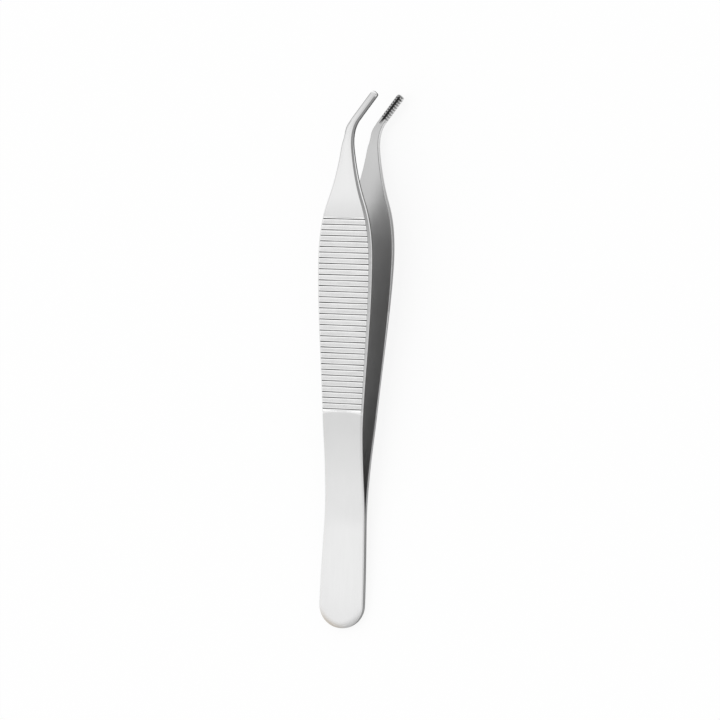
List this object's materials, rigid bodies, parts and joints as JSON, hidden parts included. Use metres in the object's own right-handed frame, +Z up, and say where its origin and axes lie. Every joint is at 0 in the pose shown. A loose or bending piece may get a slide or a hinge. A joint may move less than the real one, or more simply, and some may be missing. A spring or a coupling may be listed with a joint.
{
  "type": "thumb forceps",
  "caption": "Slender thumb forceps of two welded spring blades with a ribbed grip, a narrow neck and sideways-bent jaws with fine side teeth.",
  "frame": {"origin": "middle of the lower blade's ribbed grip, on the surface that the forceps lie on", "axes": "+X along the forceps from the heel to the jaws, +Z up through both blades, and the jaws bend towards -Y"},
  "size_m": [0.12, 0.0137, 0.0152],
  "materials": {
    "upper_blade_steel": "satin",
    "lower_blade_steel": "satin"
  },
  "bodies": {
    "root": {"upper_blade": "upper_blade_steel", "lower_blade": "lower_blade_steel"}
  },
  "joints": []
}
